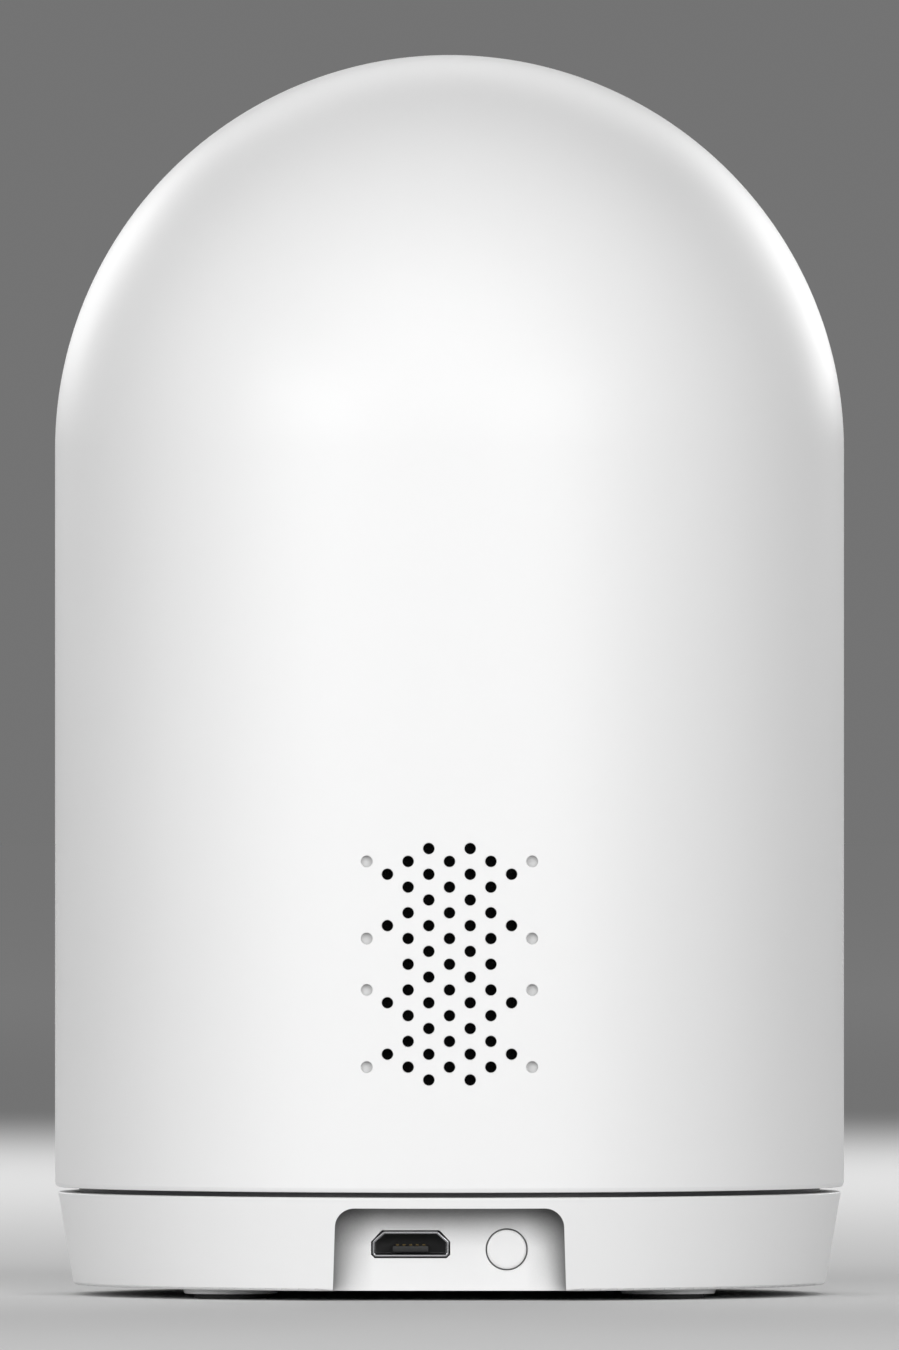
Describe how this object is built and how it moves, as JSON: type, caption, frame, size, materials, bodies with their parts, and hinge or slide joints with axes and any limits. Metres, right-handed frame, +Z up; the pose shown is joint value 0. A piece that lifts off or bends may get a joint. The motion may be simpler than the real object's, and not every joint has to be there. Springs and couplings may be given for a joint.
{
  "type": "security camera",
  "caption": "Indoor pan-and-tilt camera: capsule head turning on a round tapered base, with a tilting camera ball in a front slot, rear speaker holes and a power socket.",
  "frame": {"origin": "on the table, under the middle of the base", "axes": "+Z up, the pan axis; the lens looks along -Y; the speaker holes and the power socket face +Y"},
  "size_m": [0.078, 0.078, 0.1225],
  "materials": {
    "white_shell": "fine satin moulding",
    "grey_liner": "satin",
    "black_plastic": "satin",
    "gloss_black": "polished",
    "acetal": "satin",
    "foot_rubber": "matte",
    "steel": "plated",
    "screw_steel": "blackened",
    "brass": "turned",
    "board": "solder mask",
    "chip": "moulded",
    "lens_glass": "coated",
    "clear_plastic": "clear"
  },
  "bodies": {
    "base": {"base_shell": "white_shell", "base_plate": "white_shell", "rubber_feet": "foot_rubber", "base_screws": "screw_steel", "tripod_insert": "brass", "base_weight": "steel", "slide_ring": "grey_liner", "pan_hub": "acetal", "pan_gear": "acetal", "thrust_washer": "acetal", "base_board": "board", "usb_shell": "steel", "usb_tongue": "black_plastic", "usb_contacts": "brass", "tact_switch": "black_plastic", "pan_harness": "foot_rubber"},
    "reset_button": {"reset_button_cap": "white_shell", "tact_plunger": "acetal"},
    "head": {"head_shell": "white_shell", "head_floor": "black_plastic", "head_screws": "screw_steel", "slot_trim": "grey_liner", "yoke": "black_plastic", "tilt_bushes": "acetal", "tilt_gear": "acetal", "main_board": "board", "main_board_chips": "chip", "main_board_shield": "steel", "harness_plug": "black_plastic", "wifi_antenna": "board", "speaker_mesh": "steel", "speaker_frame": "black_plastic", "speaker_cone": "foot_rubber", "speaker_magnet": "steel", "speaker_box": "black_plastic", "pan_motor_can": "steel", "pan_motor_plate": "steel"},
    "pan_drive": {"pan_motor_shaft": "steel", "pan_pinion": "acetal"},
    "lens_unit": {"ball_front": "white_shell", "ball_back": "white_shell", "ball_screws": "screw_steel", "face_cover": "gloss_black", "lens_ring": "gloss_black", "lens_barrel": "gloss_black", "lens_front_glass": "lens_glass", "lens_rear_glass": "lens_glass", "lens_holder": "black_plastic", "sensor_board": "board", "image_sensor": "chip", "board_pillars": "brass", "ir_board": "board", "ir_leds": "clear_plastic", "microphone": "steel", "status_light": "clear_plastic", "sd_socket": "steel", "tilt_motor_can": "steel", "tilt_motor_plate": "steel"},
    "tilt_drive": {"tilt_motor_shaft": "steel", "tilt_pinion": "acetal"}
  },
  "joints": [
    {"name": "head_pan", "type": "hinge", "parent": "base", "child": "head", "pos_m": [0, 0, 0.012], "axis": [0, 0, 1], "range_deg": [-170, 170]},
    {"name": "pan_pinion_spin", "type": "hinge", "parent": "head", "child": "pan_drive", "pos_m": [0, -0.0171, 0.0161], "axis": [0, 0, 1], "continuous": true},
    {"name": "lens_tilt", "type": "hinge", "parent": "head", "child": "lens_unit", "pos_m": [0, 0, 0.0835], "axis": [-1, 0, 0], "range_deg": [-30, 68]},
    {"name": "tilt_pinion_spin", "type": "hinge", "parent": "lens_unit", "child": "tilt_drive", "pos_m": [-0.0234, 0.01409, 0.07837], "axis": [-1, 0, 0], "continuous": true},
    {"name": "reset_press", "type": "slide", "parent": "base", "child": "reset_button", "axis": [0, -1, 0], "range_m": [0, 0.0004], "stiffness_N_per_m": 2000, "springref_m": -0.0004}
  ],
  "couplings": [
    {"joint": "pan_pinion_spin", "follows": "head_pan", "ratio": 3.75},
    {"joint": "tilt_pinion_spin", "follows": "lens_tilt", "ratio": 4}
  ]
}
